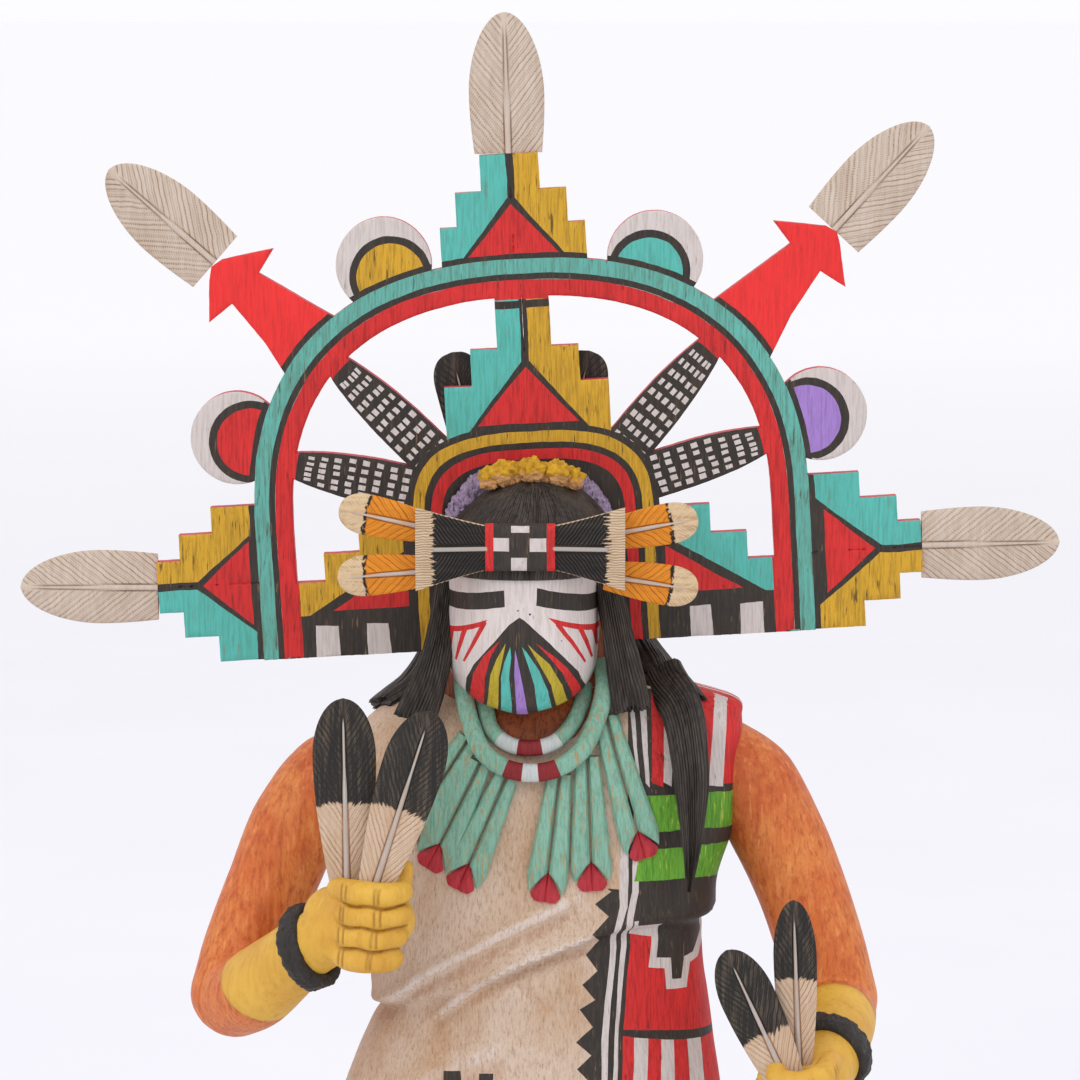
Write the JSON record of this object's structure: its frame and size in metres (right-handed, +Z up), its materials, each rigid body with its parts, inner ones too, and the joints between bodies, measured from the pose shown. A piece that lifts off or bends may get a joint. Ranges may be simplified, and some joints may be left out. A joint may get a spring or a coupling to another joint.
{
  "type": "kachina doll",
  "caption": "Carved and painted butterfly maiden kachina doll with a tall stepped headdress board, rim feathers and feathers held in both fists, on a low round wooden base.",
  "frame": {"origin": "centre of the base's flat underside", "axes": "+X to the viewer's right as the doll faces the viewer, +Y away from the viewer, +Z up"},
  "size_m": [0.2613, 0.126, 0.4185],
  "materials": {
    "base_wood": "plain cottonwood, sanded and lightly waxed",
    "carved_body": "carved cottonwood, whitewashed robe with painted border, stained arms, black grooved hair",
    "board_paint": "matt mineral paint in turquoise, ochre, red, black and white over fine vertical grain",
    "pale_feather": "bare carved wood with a thin white wash and burnt barb lines",
    "dark_feather": "carved wood, black upper half and pale lower half",
    "bow_paint": "matt black, white and red paint over carved barbs",
    "orange_feather": "carved wood stained orange with pale tips",
    "flower_paint": "knobbly carved wood, yellow paint worn to bare wood"
  },
  "bodies": {
    "root": {"base": "base_wood", "figure": "carved_body", "headdress_board": "board_paint", "top_feather": "pale_feather", "left_side_feather": "pale_feather", "right_side_feather": "pale_feather", "left_upper_feather": "pale_feather", "right_upper_feather": "pale_feather", "left_hand_feather_outer": "dark_feather", "left_hand_feather_inner": "dark_feather", "right_hand_feather_inner": "dark_feather", "right_hand_feather_outer": "dark_feather", "brow_bow": "bow_paint", "bow_feather_upper_left": "orange_feather", "bow_feather_lower_left": "orange_feather", "bow_feather_upper_right": "orange_feather", "bow_feather_lower_right": "orange_feather", "crown_flowers": "flower_paint", "left_back_feather": "dark_feather", "right_back_feather": "dark_feather"}
  },
  "joints": []
}
